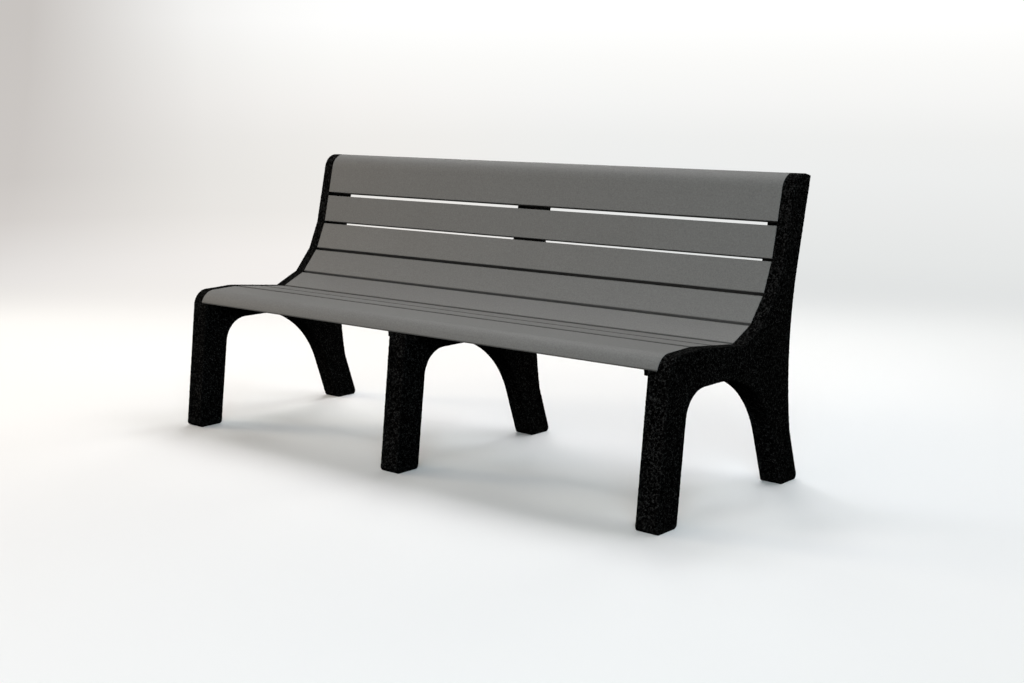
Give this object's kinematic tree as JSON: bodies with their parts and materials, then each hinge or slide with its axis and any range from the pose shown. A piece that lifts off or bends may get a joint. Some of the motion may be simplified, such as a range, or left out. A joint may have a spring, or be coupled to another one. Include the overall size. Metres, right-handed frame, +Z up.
{
  "type": "park bench",
  "caption": "Slatted park bench with a contoured seat and backrest, carried by arched moulded end and middle frames whose inner ledges take screws from behind.",
  "frame": {"origin": "on the ground, under the middle of the bench's length and depth", "axes": "+X along the bench to the sitter's left, +Y from the front edge of the seat to the back, +Z up"},
  "size_m": [1.8288, 0.7108, 0.8482],
  "materials": {
    "frame_plastic": "black moulded plastic with a coarse pebbled skin",
    "slat_plastic": "mid-grey plastic lumber, smooth, with a very fine grain and a soft sheen",
    "black_steel": "steel with a thin dull black coating, worn a little on the corners"
  },
  "bodies": {
    "root": {"left_frame": "frame_plastic", "middle_frame": "frame_plastic", "right_frame": "frame_plastic", "front_edge_slat": "slat_plastic", "front_edge_slat_screws": "black_steel", "front_edge_slat_washers": "black_steel", "front_seat_slat": "slat_plastic", "front_seat_slat_screws": "black_steel", "front_seat_slat_washers": "black_steel", "rear_seat_slat": "slat_plastic", "rear_seat_slat_screws": "black_steel", "rear_seat_slat_washers": "black_steel", "lumbar_slat": "slat_plastic", "lumbar_slat_screws": "black_steel", "lumbar_slat_washers": "black_steel", "lower_back_slat": "slat_plastic", "lower_back_slat_screws": "black_steel", "lower_back_slat_washers": "black_steel", "middle_back_slat": "slat_plastic", "middle_back_slat_screws": "black_steel", "middle_back_slat_washers": "black_steel", "upper_back_slat": "slat_plastic", "upper_back_slat_screws": "black_steel", "upper_back_slat_washers": "black_steel", "top_rail_slat": "slat_plastic", "top_rail_slat_screws": "black_steel", "top_rail_slat_washers": "black_steel"}
  },
  "joints": []
}
